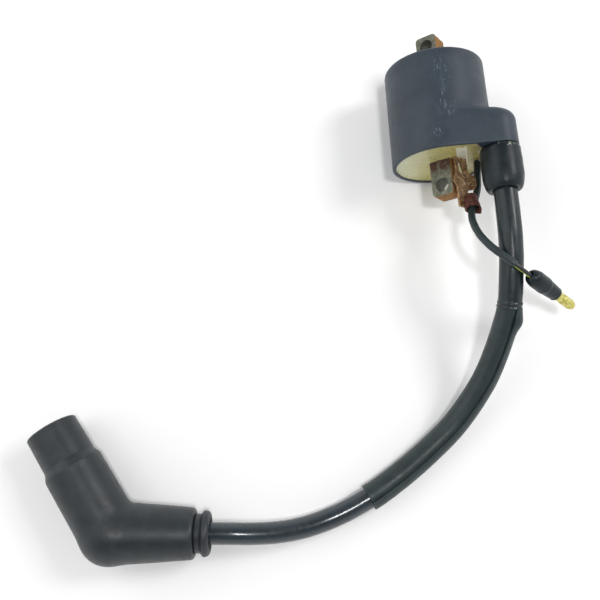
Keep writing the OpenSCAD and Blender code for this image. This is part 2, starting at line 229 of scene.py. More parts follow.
def rounded(corners, reach, steps=5):
    """A polyline with its inner corners rounded off over `reach` on each side, one number or one a corner."""
    made = [np.array(corners[0], float)]
    for i in range(1, len(corners) - 1):
        before, here, after = (np.array(corners[k], float) for k in (i - 1, i, i + 1))
        wanted = reach[i - 1] if hasattr(reach, "__len__") else reach
        back, ahead = before - here, after - here
        size = min(wanted, 0.48 * np.linalg.norm(back), 0.48 * np.linalg.norm(ahead))
        start = here + back / np.linalg.norm(back) * size
        end = here + ahead / np.linalg.norm(ahead) * size
        for t in np.linspace(0, 1, steps + 1):
            made.append((1 - t) ** 2 * start + 2 * t * (1 - t) * here + t * t * end)
    made.append(np.array(corners[-1], float))
    return made


def lathe(profile, sides=96, wobble=0.0, grain=0.2):
    """Turns (x, radius) pairs about X, with a wobble in the radius."""
    points = []
    for x, r in profile:
        for k in range(sides):
            a = TURN * k / sides
            y, z = math.cos(a), math.sin(a)
            bump = wobble * noise.noise(Vector((x, r * y, r * z)) * grain)
            points.append((x, (r + bump) * y, (r + bump) * z))
    return points, grid_faces(len(profile), sides, flip=True)


def smooth_route(route, step):
    """Points at even steps along the smooth curve through a route's points."""
    p = [np.array(q, float) for q in route]
    p = [2 * p[0] - p[1]] + p + [2 * p[-1] - p[-2]]
    fine = []
    for i in range(1, len(p) - 2):
        knots = [0.0]
        for a, b in zip(p[i - 1 : i + 2], p[i : i + 3]):
            knots.append(knots[-1] + math.sqrt(np.linalg.norm(b - a)))
        t0, t1, t2, t3 = knots
        for t in np.linspace(t1, t2, 24, endpoint=False):
            a1 = (t1 - t) / (t1 - t0) * p[i - 1] + (t - t0) / (t1 - t0) * p[i]
            a2 = (t2 - t) / (t2 - t1) * p[i] + (t - t1) / (t2 - t1) * p[i + 1]
            a3 = (t3 - t) / (t3 - t2) * p[i + 1] + (t - t2) / (t3 - t2) * p[i + 2]
            b1 = (t2 - t) / (t2 - t0) * a1 + (t - t0) / (t2 - t0) * a2
            b2 = (t3 - t) / (t3 - t1) * a2 + (t - t1) / (t3 - t1) * a3
            fine.append((t2 - t) / (t2 - t1) * b1 + (t - t1) / (t2 - t1) * b2)
    fine.append(p[-2])
    fine = np.array(fine)
    along = np.concatenate([[0], np.cumsum(np.linalg.norm(np.diff(fine, axis=0), axis=1))])
    count = max(2, round(along[-1] / step) + 1)
    wanted = np.linspace(0, along[-1], count)
    return np.stack([np.interp(wanted, along, fine[:, k]) for k in range(3)], axis=1)


class Track:
    """A smooth route with a place and a cross frame at each distance along it."""

    def __init__(self, route):
        self.points = smooth_route(route, 0.25)
        gaps = np.linalg.norm(np.diff(self.points, axis=0), axis=1)
        self.along = np.concatenate([[0], np.cumsum(gaps)])
        self.length = self.along[-1]
        self.knots = [self.nearest(p) for p in route]

    def nearest(self, point):
        """Distance along the route of the place nearest to a point."""
        return self.along[np.argmin(np.linalg.norm(self.points - np.array(point), axis=1))]

    def at(self, s):
        return np.array([np.interp(s, self.along, self.points[:, k]) for k in range(3)])

    def cross(self, s):
        """Two directions square to the route at s: sideways and up."""
        ahead = self.at(min(s + 1, self.length)) - self.at(max(s - 1, 0))
        sideways = np.cross(ahead, (0, 0, 1))
        sideways /= np.linalg.norm(sideways)
        up = np.cross(sideways, ahead)
        return sideways, up / np.linalg.norm(up)


def sweep(track, stations, section, close_ends=False):
    """Carries section(s), a ring of (sideways, up) pairs, along a track."""
    points, size = [], 0
    for s in stations:
        centre, (sideways, up) = track.at(s), track.cross(s)
        ring = section(s)
        size = len(ring)
        points += [centre + a * sideways + b * up for a, b in ring]
    faces = grid_faces(len(stations), size)
    if close_ends:
        faces.append(tuple(range(size))[::-1])
        last = (len(stations) - 1) * size
        faces.append(tuple(last + k for k in range(size)))
    return points, faces


def curve_cord(name, track, radius, finish, body, nodes):
    """A round cord as one open spline with a bevel."""
    data = bpy.data.curves.new(name, "CURVE")
    data.dimensions = "3D"
    data.bevel_depth = radius * MM
    data.bevel_resolution = 7
    data.use_fill_caps = True
    spline = data.splines.new("POLY")
    route = [track.at(s) for s in np.linspace(0, track.length, max(24, int(track.length / 1.5)))]
    spline.points.add(len(route) - 1)
    for point, place in zip(spline.points, route):
        point.co = (*(place * MM), 1)
    spline.use_smooth = True
    data.materials.append(finish)
    cord = bpy.data.objects.new(name, data)
    bpy.context.scene.collection.objects.link(cord)
    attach(cord, body)
    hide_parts(*nodes)
    return cord


# ---------------------------------------------------------------- materials


def paint(code):
    """A colour code as linear red, green, blue and 1."""
    parts = [int(code[i : i + 2], 16) / 255 for i in (1, 3, 5)]
    return (*(c / 12.92 if c <= 0.04045 else ((c + 0.055) / 1.055) ** 2.4 for c in parts), 1)


class Finish:
    """A material built up from noises in the object's own space, in millimetres."""

    def __init__(self, name, roughness, metallic=0.0, specular=0.5, coat=0.0, coat_roughness=0.1):
        self.material = bpy.data.materials.new(name)
        self.material.use_nodes = True
        self.tree = self.material.node_tree
        self.shader = self.tree.nodes["Principled BSDF"]
        self.shader.inputs["Roughness"].default_value = roughness
        self.shader.inputs["Metallic"].default_value = metallic
        self.shader.inputs["Specular IOR Level"].default_value = specular
        self.shader.inputs["Coat Weight"].default_value = coat
        self.shader.inputs["Coat Roughness"].default_value = coat_roughness
        self.space = self.tree.nodes.new("ShaderNodeTexCoord").outputs["Object"]
        self.bump_output = None

    def link(self, a, b):
        self.tree.links.new(a, b)

    def noise(self, size, detail=3.0, stretch=(1, 1, 1), distortion=0.0, seed=0.0):
        """Noise with grains about `size` millimetres across."""
        mapping = self.tree.nodes.new("ShaderNodeMapping")
        mapping.inputs["Scale"].default_value = [1000 / size / k for k in stretch]
        mapping.inputs["Location"].default_value = (seed, 1.7 * seed, 0)
        self.link(self.space, mapping.inputs["Vector"])
        node = self.tree.nodes.new("ShaderNodeTexNoise")
        node.inputs["Scale"].default_value = 1
        node.inputs["Detail"].default_value = detail
        node.inputs["Distortion"].default_value = distortion
        self.link(mapping.outputs["Vector"], node.inputs["Vector"])
        return node.outputs["Fac"]

    def ramp(self, source, *stops):
        """A colour ramp; each stop is (place, colour code)."""
        node = self.tree.nodes.new("ShaderNodeValToRGB")
        while len(node.color_ramp.elements) < len(stops):
            node.color_ramp.elements.new(0.5)
        for element, (place, code) in zip(node.color_ramp.elements, stops):
            element.position = place
            element.color = paint(code)
        self.link(source, node.inputs["Fac"])
        return node.outputs["Color"]

    def span(self, source, low, high, out_low=0.0, out_high=1.0):
        """Rescales a value and holds it between its new limits."""
        node = self.tree.nodes.new("ShaderNodeMapRange")
        node.inputs["From Min"].default_value = low
        node.inputs["From Max"].default_value = high
        node.inputs["To Min"].default_value = out_low
        node.inputs["To Max"].default_value = out_high
        self.link(source, node.inputs["Value"])
        return node.outputs["Result"]

    def times(self, a, b):
        node = self.tree.nodes.new("ShaderNodeMath")
        node.operation = "MULTIPLY"
        self.link(a, node.inputs[0])
        self.link(b, node.inputs[1])
        return node.outputs["Value"]

    def over(self, base, top, share):
        """Colour `top` laid over `base` where share is 1; either may be a colour code."""
        node = self.tree.nodes.new("ShaderNodeMix")
        node.data_type = "RGBA"
        self.link(share, node.inputs["Factor"])
        for source, socket in ((base, node.inputs["A"]), (top, node.inputs["B"])):
            if isinstance(source, str):
                socket.default_value = paint(source)
            else:
                self.link(source, socket)
        return node.outputs["Result"]

    def near(self, place, reach):
        """1 at a place in millimetres and 0 from `reach` away; reach may differ along the three axes."""
        mapping = self.tree.nodes.new("ShaderNodeMapping")
        mapping.vector_type = "TEXTURE"
        mapping.inputs["Location"].default_value = Vector(place) * MM
        mapping.inputs["Scale"].default_value = Vector(reach) * MM
        self.link(self.space, mapping.inputs["Vector"])
        node = self.tree.nodes.new("ShaderNodeVectorMath")
        node.operation = "LENGTH"
        self.link(mapping.outputs["Vector"], node.inputs[0])
        return self.span(node.outputs["Value"], 1.0, 0.55)

    def axis(self, index, turn=None):
        """One coordinate in millimetres, in a local frame if one is given."""
        source = self.space
        if turn is not None:
            mapping = self.tree.nodes.new("ShaderNodeMapping")
            mapping.vector_type = "TEXTURE"
            mapping.inputs["Location"].default_value = turn.translation * MM
            mapping.inputs["Rotation"].default_value = turn.to_euler()
            self.link(source, mapping.inputs["Vector"])
            source = mapping.outputs["Vector"]
        node = self.tree.nodes.new("ShaderNodeSeparateXYZ")
        self.link(source, node.inputs["Vector"])
        return self.span(node.outputs[index], -1, 1, -1000, 1000)

    def colour(self, source):
        self.link(source, self.shader.inputs["Base Color"])

    def rough(self, source, low, high):
        self.link(self.span(source, 0.3, 0.7, low, high), self.shader.inputs["Roughness"])

    def bump(self, source, height, strength=1.0):
        """Adds a bump, its height in millimetres, on top of those before it."""
        node = self.tree.nodes.new("ShaderNodeBump")
        node.inputs["Strength"].default_value = strength
        node.inputs["Distance"].default_value = height * MM
        self.link(source, node.inputs["Height"])
        if self.bump_output is not None:
            self.link(self.bump_output, node.inputs["Normal"])
        self.bump_output = node.outputs["Normal"]
        self.link(self.bump_output, self.shader.inputs["Normal"])


def case_finish():
    """Satin blue-grey moulded plastic with faint scuffs along its top."""
    f = Finish("case_plastic", roughness=0.46, specular=0.38)
    base = f.ramp(f.noise(9, 4), (0.3, "#2a343e"), (0.7, "#333e47"))
    specks = f.span(f.noise(0.45, 2, seed=3), 0.70, 0.78)
    base = f.over(base, "#525b64", specks)
    scratches = f.noise(1.1, 4, stretch=(0.6, 3, 1), distortion=1.5, seed=5)
    for place, reach in (
        ((-3.7, -1.0, 39.4), (4.6, 4.2, 4)),
        ((-4.6, 15.5, 39.4), (5.5, 8, 4)),
        ((-4.3, 5.8, 39.4), (1.6, 3.4, 4)),
        ((-8.3, -10.4, 38.7), (2.6, 2.6, 3)),
    ):
        worn = f.times(f.near(place, reach), f.span(scratches, 0.57, 0.70))
        base = f.over(base, "#69737a", worn)
    f.colour(base)
    f.rough(f.noise(3, 3, seed=2), 0.42, 0.54)
    f.bump(f.noise(0.35, 2), 0.02, 0.5)
    f.bump(f.noise(6, 2, seed=1), 0.08, 0.6)
    return f.material


def resin_finish():
    """Cast resin, olive near the tower, paler away from it, with one pale flake above the core."""
    f = Finish("potting_resin", roughness=0.36, specular=0.4, coat=0.2, coat_roughness=0.25)
    across = f.axis(0)
    stops = ((0.0, "#c6c9ac"), (0.30, "#bfbc8a"), (0.42, "#bdb77a"), (0.62, "#b2a865"), (0.85, "#a0965a"),
             (1.0, "#5c593e"))
    base = f.ramp(f.span(across, -22, 14), *stops)
    cloud = f.noise(4, 3, distortion=0.8)
    base = f.over(base, "#cfca9f", f.span(cloud, 0.55, 0.85, 0, 0.45))
    flake = Matrix.Translation((3.4, -15, 25)) @ Matrix.Rotation(math.radians(-13.5), 4, "Y")
    side = f.times(f.span(f.axis(0, flake), -2.2, -1.9), f.span(f.axis(0, flake), 2.0, 1.7))
    length = f.times(f.span(f.axis(2, flake), -9.3, -8.9), f.span(f.axis(2, flake), 9.3, 8.9))
    base = f.over(base, "#dcdac4", f.times(side, length))
    f.colour(base)
    f.rough(f.noise(2.5, 2, seed=4), 0.24, 0.42)
    f.bump(f.noise(3.5, 2, seed=6), 0.10, 0.5)
    return f.material


def steel_finish():
    """Lamination steel under old varnish, with dark red rust beside the resin."""
    f = Finish("lamination_steel", roughness=0.48, metallic=0.35, specular=0.5)
    base = f.ramp(f.noise(1.6, 5, distortion=0.6), (0.3, "#4c4f42"), (0.5, "#616255"), (0.7, "#7d7c68"))
    along = f.axis(1, COIL)
    beside_resin = f.times(f.span(along, -4.0, -2.6), f.span(f.noise(1.3, 4, seed=7), 0.35, 0.5))
    base = f.over(base, "#4a2f29", f.times(beside_resin, f.span(along, 6, 5)))
    f.colour(base)
    f.rough(f.noise(0.8, 3, seed=2), 0.36, 0.6)
    f.bump(f.noise(0.5, 3, seed=3), 0.03, 0.7)
    return f.material


def rust_finish():
    """Orange-brown rust on the edges of the laminations."""
    f = Finish("lamination_rust", roughness=0.7, metallic=0.1, specular=0.4)
    stops = ((0.25, "#5c4a30"), (0.5, "#94652f"), (0.75, "#b98748"))
    base = f.ramp(f.noise(1.0, 5, distortion=1.0, seed=8), *stops)
    f.colour(base)
    f.rough(f.noise(0.7, 3, seed=2), 0.55, 0.85)
    f.bump(f.noise(0.35, 4, seed=3), 0.05, 0.8)
    return f.material


def strap_finish():
    """Coppered steel strip, tarnished in spots."""
    f = Finish("coppered_steel", roughness=0.45, metallic=0.55, specular=0.5)
    stops = ((0.3, "#63483a"), (0.48, "#94714f"), (0.62, "#b4946c"), (0.8, "#d6c59f"))
    base = f.ramp(f.noise(1.5, 5, distortion=1.2), *stops)
    specks = f.span(f.noise(0.55, 3, seed=9), 0.58, 0.66)
    base = f.over(base, "#45301f", specks)
    f.colour(base)
    f.rough(f.noise(0.9, 3, seed=2), 0.32, 0.62)
    f.bump(f.noise(0.5, 3, seed=4), 0.06, 0.9)
    return f.material


def band_finish():
    """Dark red-brown tarnish on the crimp band."""
    f = Finish("tarnished_copper", roughness=0.62, metallic=0.25, specular=0.4)
    stops = ((0.3, "#3f2622"), (0.5, "#5e3a32"), (0.75, "#84574a"))
    base = f.ramp(f.noise(1.0, 5, distortion=0.8, seed=4), *stops)
    specks = f.span(f.noise(0.4, 2, seed=12), 0.66, 0.72)
    base = f.over(base, "#b98f74", specks)
    f.colour(base)
    f.bump(f.noise(0.45, 3, seed=4), 0.09, 1.0)
    return f.material


def rubber_finish(name, dark, light, roughness, grain, height, specular=0.5, coat=0.0, coat_roughness=0.2,
                  residue=()):
    """Moulded rubber or soft plastic in two close shades, with pale residue at the places named."""
    f = Finish(name, roughness=roughness, specular=specular, coat=coat, coat_roughness=coat_roughness)
    base = f.ramp(f.noise(5, 4), (0.3, dark), (0.7, light))
    for place, reach in residue:
        crumbs = f.times(f.near(place, reach), f.span(f.noise(1.1, 4, seed=5), 0.54, 0.60))
        base = f.over(base, "#9a9f94", crumbs)
    f.colour(base)
    f.rough(f.noise(2.2, 3, seed=2), max(0.02, roughness - 0.06), roughness + 0.06)
    f.bump(f.noise(grain, 2, seed=1), height, 0.8)
    return f.material


def brass_finish():
    """Bright brass with a greenish cast and darker rubbed marks."""
    f = Finish("brass", roughness=0.28, metallic=0.85, specular=0.5)
    base = f.ramp(f.noise(1.4, 4, distortion=0.8), (0.3, "#9c8f3c"), (0.55, "#cfc873"), (0.8, "#e4e0a0"))
    f.colour(base)
    f.rough(f.noise(0.8, 3, seed=3), 0.2, 0.42)
    f.bump(f.noise(0.5, 3, seed=4), 0.02, 0.7)
    return f.material


def plain_finish(name, dark, light, roughness, metallic=0.0, grain=0.8):
    """Finish of a hidden piece: two shades in fine noise, with a slight bump."""
    f = Finish(name, roughness=roughness, metallic=metallic)
    f.colour(f.ramp(f.noise(grain, 3), (0.35, dark), (0.65, light)))
    f.rough(f.noise(grain, 2, seed=2), max(0.05, roughness - 0.08), roughness + 0.08)
    f.bump(f.noise(grain, 2, seed=1), 0.02, 0.6)
    return f.material


# ---------------------------------------------------------------- coil


def keyhole(angle, body, end, offset):
    """Distance from the cup's axis to the outline round the cup and the tower."""
    beta = math.acos((body - end) / offset)
    touch = math.atan2(end * math.sin(beta), offset + end * math.cos(beta))
    a = abs(math.remainder(angle, TURN))
    if a >= beta:
        return body
    if a >= touch:
        return body / math.cos(a - beta)
    return offset * math.cos(a) + math.sqrt(end**2 - (offset * math.sin(a)) ** 2)


def inner_outline(angle):
    """Distance from the cup's axis to the inside of the wall, cut off at the tower's socket."""
    r = keyhole(angle, case_r - case_wall, tower_r - case_wall, tower_offset)
    flat = tower_offset - lead_r - 1
    return min(r, flat / math.cos(angle)) if math.cos(angle) > 0.3 else r


def draft(y):
    """How much the mould's draft has taken off the radius at height y."""
    return (case_r - case_closed_r) * y / case_len


def make_case(finish):
    """Cup, web and tower as one skin, from the inside of the wall over the rim to the closed end."""
    angles = [TURN * k / 288 for k in range(288)]
    columns = []
    for a in angles:
        outer = keyhole(a, case_r, tower_r, tower_offset)
        inner = inner_outline(a)
        gap = outer - case_r
        shoulder = min(5.0, 0.52 * gap)
        fillet = min(3.4, 0.45 * gap)
        lip = 0.35
        column = [(inner, 3.0), (inner, 1.6), (inner, lip)]
        column += [(inner + lip * (1 - math.cos(t)), lip * (1 - math.sin(t))) for t in (0.5, 1.0, 1.5)]
        column += [(outer - lip * (1 - math.sin(t)), lip * (1 - math.cos(t))) for t in (0.0, 0.5, 1.0, 1.57)]
        column += [(outer - draft(y), y) for y in np.linspace(1, tower_h - 5, 8)]
        for t in np.linspace(0.12, 1, 9) * math.pi / 2:
            y = tower_h - 5 + 5 * math.sin(t)
            column.append((outer - draft(y) - shoulder * (1 - math.cos(t)), y))
        for share in (0.25, 0.5, 0.75):
            flat = (1 - share) * (outer - shoulder) + share * (case_r + fillet)
            column.append((flat - draft(tower_h), tower_h + 0.5 * share))
        for t in np.linspace(0, 1, 8) * math.pi / 2:
            y = tower_h + 0.5 + 3.2 * (1 - math.cos(t))
            column.append((case_r - draft(y) + fillet * (1 - math.sin(t)), y))
        top = case_len - end_round
        column += [(case_r - draft(y), y) for y in np.linspace(tower_h + 5, top, 12)]
        for t in np.linspace(0.15, 1, 7) * math.pi / 2:
            column.append((case_closed_r - end_round * (1 - math.cos(t)), top + end_round * math.sin(t)))
        column += [(r, case_len) for r in (16, 12, 8, 5, 3)]
        columns.append(column)
    points = []
    for i in range(len(columns[0])):
        for a, column in zip(angles, columns):
            r, y = column[i]
            p = Vector((r * math.cos(a), y, r * math.sin(a)))
            wave = 0.06 * noise.noise(p * 0.12) if y > 0.5 else 0.0
            points.append(p + Vector((math.cos(a), 0, math.sin(a))) * wave)
    skin = points, grid_faces(len(columns[0]), len(angles))
    spigot = lathe(rounded([(-0.5, 5.6), (9, 5.6), (9, 4.1), (-0.5, 4.1)], 0.4), 64)
    spigot_points = [tower_place(p) for p in spigot[0]]
    add_piece("coil_case", *join_shells(skin, (spigot_points, spigot[1])), COIL, finish, "coil",
              ["case"], "case_plastic")


def tower_place(p):
    """A point of a lathe that runs down the tower, in the coil's own frame."""
    return (tower_offset + p[1], -p[0], p[2])


def make_resin(finish):
    """Surface of the resin, drawn up a little where it wets the wall."""
    sides, rings = 240, 46
    points = []
    for i in range(rings):
        share = (i / (rings - 1)) ** 0.8
        for k in range(sides):
            a = TURN * k / sides
            wall = inner_outline(a) + 0.1
            r = 0.2 + (wall - 0.2) * share
            x, z = r * math.cos(a), r * math.sin(a)
            y = resin_depth - 0.55 * math.exp(-(wall - r) / 0.7)
            edge = max(abs(x) - core_w / 2, abs(z) - core_t / 2)
            if edge > 0:
                y -= 0.5 * math.exp(-edge / 0.6)
            y += 0.16 * noise.noise(Vector((x, 0, z)) * 0.22)
            points.append((x, y, z))
    faces = grid_faces(rings, sides) + [tuple(range(sides))[::-1]]
    add_piece("resin_surface", points, faces, COIL, finish, "coil", ["potting"], "potting_resin")


def lug_sheet(index, seed):
    """One lamination's two ends as drilled plates with cut corners."""
    thick = core_t / sheet_count
    low = -core_t / 2 + index * thick + 0.03
    high = low + thick - 0.06
    cut = 0.7
    steps = 40
    shift = 0.10 * noise.noise(Vector((seed, 3.1, 0)))
    half = core_w / 2 + 0.05 * noise.noise(Vector((seed, 7.7, 0)))
    shells = []
    for start, far, sign in ((-lug_open + shift, 4, 1), (case_len + lug_closed + shift, case_len - 4, -1)):
        hole_y = start + sign * hole_to_end
        hole = [(lug_hole_r * math.cos(TURN * k / steps), hole_y + lug_hole_r * math.sin(TURN * k / steps))
                for k in range(steps)]
        outline = [square_point(k, steps, half, start, hole_y, far, cut, sign) for k in range(steps)]
        loops = []
        for ring, z in ((hole, low), (outline, low), (outline, high), (hole, high)):
            loops += [(x, y, z) for x, y in ring]
        faces = grid_faces(4, steps)
        faces += [(3 * steps + k, 3 * steps + (k + 1) % steps, (k + 1) % steps, k) for k in range(steps)]
        if sign < 0:
            faces = [face[::-1] for face in faces]
        shells.append((loops, faces))
    return join_shells(*shells)


def square_point(k, steps, half, start, hole_y, far, cut, sign):
    """Where a ray from the hole's centre meets the outline of one end of the bar."""
    a = TURN * k / steps
    dx, dy = math.cos(a), math.sin(a)
    reach = 1e9
    walls = [(1, 0, half), (-1, 0, half), (0, -sign, hole_to_end), (0, sign, sign * (far - hole_y))]
    corner = half + hole_to_end - cut
    walls += [(1, -sign, corner), (-1, -sign, corner)]
    for nx, ny, distance in walls:
        towards = nx * dx + ny * dy
        if towards > 1e-9:
            reach = min(reach, distance / towards)
    return (reach * dx, hole_y + reach * dy)


def make_core(face_finish, edge_finish):
    """The stack of laminations: both lugs, with rust where the sheets' edges are cut."""
    shells = [lug_sheet(i, 3.3 * i + 1) for i in range(sheet_count)]
    stack = add_piece("core_stack", *join_shells(*shells), COIL, face_finish, "coil",
                      ["core_laminations"], "lamination_steel", smooth=False)
    stack.data.materials.append(edge_finish)
    across = (COIL.to_3x3() @ Vector((0, 0, 1))).normalized()
    for face in stack.data.polygons:
        if abs(face.normal.dot(across)) < 0.5:
            centre = COIL.inverted() @ (face.center / MM)
            if not near_hole(centre):
                face.material_index = 1


def near_hole(p):
    """Whether a point of the bar lies on the wall of one of its holes."""
    return any(math.hypot(p.x, p.y - y) < lug_hole_r + 0.3
               for y in (-lug_open + hole_to_end, case_len + lug_closed - hole_to_end))


def make_boot(finish):
    """Rubber boot on the tower's spigot, with a rolled lip where the lead comes out."""
    profile = rounded(
        [(0.25, 5.8), (0.25, 7.15), (1.2, 7.5), (5.5, 7.62), (12.2, 7.62), (15.2, 6.9), (16.7, 6.2),
         (16.6, 4.5), (14.0, 4.5)],
        [0.5, 0.6, 2, 3.5, 1.4, 0.7, 0.5])
    add_piece("tower_boot_skin", *lathe(profile, 112, 0.12, 0.3), TOWER, finish, "boot",
              ["tower_boot"], "boot_rubber")


# ---------------------------------------------------------------- lead


def circle(radius, sides):
    return [(radius * math.cos(TURN * k / sides), radius * math.sin(TURN * k / sides)) for k in range(sides)]


def make_upper_sleeve(track, finish):
    """Glossy sleeve with fine lengthwise wrinkles and a rolled cuff at its lower end."""
    first, last = (track.knots[i] for i in UPPER_SLEEVE)
    sides = 72

    def section(s):
        left = last - s
        cuff = 0.36 * math.exp(-(((left - 0.75) / 0.55) ** 2)) + 0.30 * math.exp(-(((left - 2.3) / 0.5) ** 2))
        base = 4.38 + cuff
        if left < 0.25:
            base = 4.1 + left
        ring = []
        for k in range(sides):
            a = TURN * k / sides
            here = Vector((3 * math.cos(a), 3 * math.sin(a), s * 0.12))
            crease = 0.10 * noise.noise(here) + 0.05 * noise.noise(here * 2.7)
            fold = 0.14 * noise.noise(Vector((2 * math.cos(a), 2 * math.sin(a), s * 0.9))) * math.exp(-left / 3)
            r = base + crease + fold
            ring.append((r * math.cos(a), r * math.sin(a)))
        return ring

    stations = list(np.arange(first, last - 4, 0.8)) + list(np.linspace(last - 4, last, 28))
    add_piece("upper_sleeve_skin", *sweep(track, stations, section), ROW, finish, "coil",
              ["upper_sleeve"], "sleeve_glossy")


def make_lower_sleeve(track, finish):
    """Slit sleeve: one edge of the slit lies over the other, and its upper corner stands out."""
    first, last = (track.knots[i] for i in LOWER_SLEEVE)
    first -= 0.9
    wall = 0.55
    slit = math.radians(68)
    count = 64

    def section(s):
        run = s - first
        share = run / (last - first)
        base = 4.55 + 0.45 * share
        flare = 1.3 * math.exp(-(((run - 4.5) / 3.2) ** 2))
        outer, inner = [], []
        for k in range(count):
            t = k / (count - 1)
            a = slit - TURN * 1.03 * t
            lift = 0.42 * (1 - min(1, t / 0.2)) ** 2 - 0.22 * max(0, (t - 0.85) / 0.15)
            lift += flare * math.exp(-(((t - 0.09) / 0.09) ** 2))
            a_wave = 0.05 * noise.noise(Vector((2 * math.cos(a), 2 * math.sin(a), s * 0.1)))
            r = base + lift + a_wave
            outer.append((-r * math.cos(a), r * math.sin(a)))
            inner.append((-(r - wall) * math.cos(a), (r - wall) * math.sin(a)))
        return outer + inner[::-1]

    stations = list(np.arange(first, first + 12, 0.5)) + list(np.linspace(first + 12, last, 80))
    points, faces = sweep(track, stations, section)
    points = [(x, y, max(z, 0.05)) for x, y, z in points]
    size = 2 * count
    for end, turn in ((0, 1), ((len(stations) - 1) * size, -1)):
        for k in range(count - 1):
            face = (end + k, end + k + 1, end + size - 2 - k, end + size - 1 - k)
            faces.append(face[::turn])
    add_piece("lower_sleeve_skin", points, faces, ROW, finish, "coil", ["lower_sleeve"], "sleeve_matte")


def make_primary(track, sleeve_finish, stripe_finish):
    """Sleeve over the primary wire, and the coloured stripe along the wire."""
    first, last = (track.knots[i] for i in PRIMARY_SLEEVE)
    last -= 1.7

    def section(s):
        left = last - s
        r = wire_sleeve_r - 0.02 + 0.05 * noise.noise(Vector((s * 0.35, 2, 0)))
        if left < 0.2:
            r = 0.9 + 2.4 * left
        return circle(r, 28)

    stations = list(np.arange(first - 1.5, last - 1, 0.6)) + list(np.linspace(last - 1, last, 10))
    sleeve = add_piece("primary_sleeve_skin", *sweep(track, stations, section), ROW, sleeve_finish, "coil",
                       ["primary_sleeve"], "sleeve_matte")

    def stripe_section(s):
        low, high = wire_r - 0.15, wire_r + 0.03
        angles = np.radians(np.linspace(-38, 12, 6))
        outer = [(high * math.cos(a), high * math.sin(a)) for a in angles]
        return outer + [(low * math.cos(a), low * math.sin(a)) for a in angles[::-1]]

    stations = np.arange(track.knots[1] + 1, track.length - 8, 0.5)
    stripe = add_piece("wire_stripe", *sweep(track, stations, stripe_section, close_ends=True), ROW,
                       stripe_finish, "coil")
    return sleeve, stripe


def make_connector(rubber, brass):
    """Rubber sleeve and brass bullet at the end of the primary wire."""
    profile = rounded(
        [(0.9, 0.95), (0.0, 1.3), (0.4, 2.1), (1.4, 2.85), (3.2, 3.3), (8.9, 3.3), (9.7, 3.02), (13.5, 2.75),
         (14.9, 2.62), (15.6, 2.68), (15.7, 2.0), (13.5, 2.0)],
        [0.3, 0.4, 0.6, 1.2, 0.5, 0.4, 1, 0.6, 0.2, 0.2])
    cover = add_piece("connector_cover", *lathe(profile, 64, 0.10, 0.5), CONNECTOR, rubber, "connector_boot",
                      ["connector_sleeve"], "boot_rubber")
    profile = rounded(
        [(7, 0.82), (7, 1.5), (12.6, 1.5), (13, 1.95), (18.0, 1.95), (18.25, 1.6), (19.3, 1.6), (19.6, 1.95),
         (24.6, 1.95), (26.0, 1.5), (26.4, 1.05), (26.3, 0.8), (23, 0.8)],
        [0.1, 0.2, 0.2, 0.25, 0.15, 0.15, 0.25, 1.2, 0.5, 0.15, 0.1])
    bullet = add_piece("bullet", *lathe(profile, 56), CONNECTOR, brass, "coil", ["bullet_terminal"], "brass")
    return cover, bullet


# ---------------------------------------------------------------- plug cap


def arm_radius(s):
    """Outline of the arm: body, shoulder and the tube that goes on the plug."""
    body = np.interp(s, [0, 27.6], [11.25, 11.0])
    tube = np.interp(s, [30.6, arm_len], [9.85, 9.65])
    blend = np.clip((s - 27.2) / 3.6, 0, 1)
    blend = blend * blend * (3 - 2 * blend)
    return body + (tube - body) * blend


def branch_radius(s):
    """Outline of the branch: a taper to its square end."""
    return np.interp(s, [0, 20, 29.3, 30.2, branch_end], [11.25, 9.95, 9.2, 8.9, 8.3])


def cap_field(p):
    """Below 0 inside the cap's skin: the arm, the branch and the round elbow, melted together."""
    local = p - np.array(cap_elbow)
    arm_axis = np.array(ARM.to_3x3() @ Vector((1, 0, 0)))
    branch_axis = np.array(BRANCH.to_3x3() @ Vector((1, 0, 0)))
    parts = []
    for axis, radius in ((arm_axis, arm_radius), (branch_axis, branch_radius)):
        s = local @ axis
        off = np.linalg.norm(local - s[:, None] * axis, axis=1)
        ball = np.linalg.norm(local, axis=1) - 11.25
        parts.append(np.where(s > 0, off - radius(np.maximum(s, 0)), ball))
    soft = 1.6
    nearest = np.minimum(*parts)
    mix = np.maximum(soft - np.abs(parts[0] - parts[1]), 0) / soft
    return nearest - mix * mix * soft * 0.25


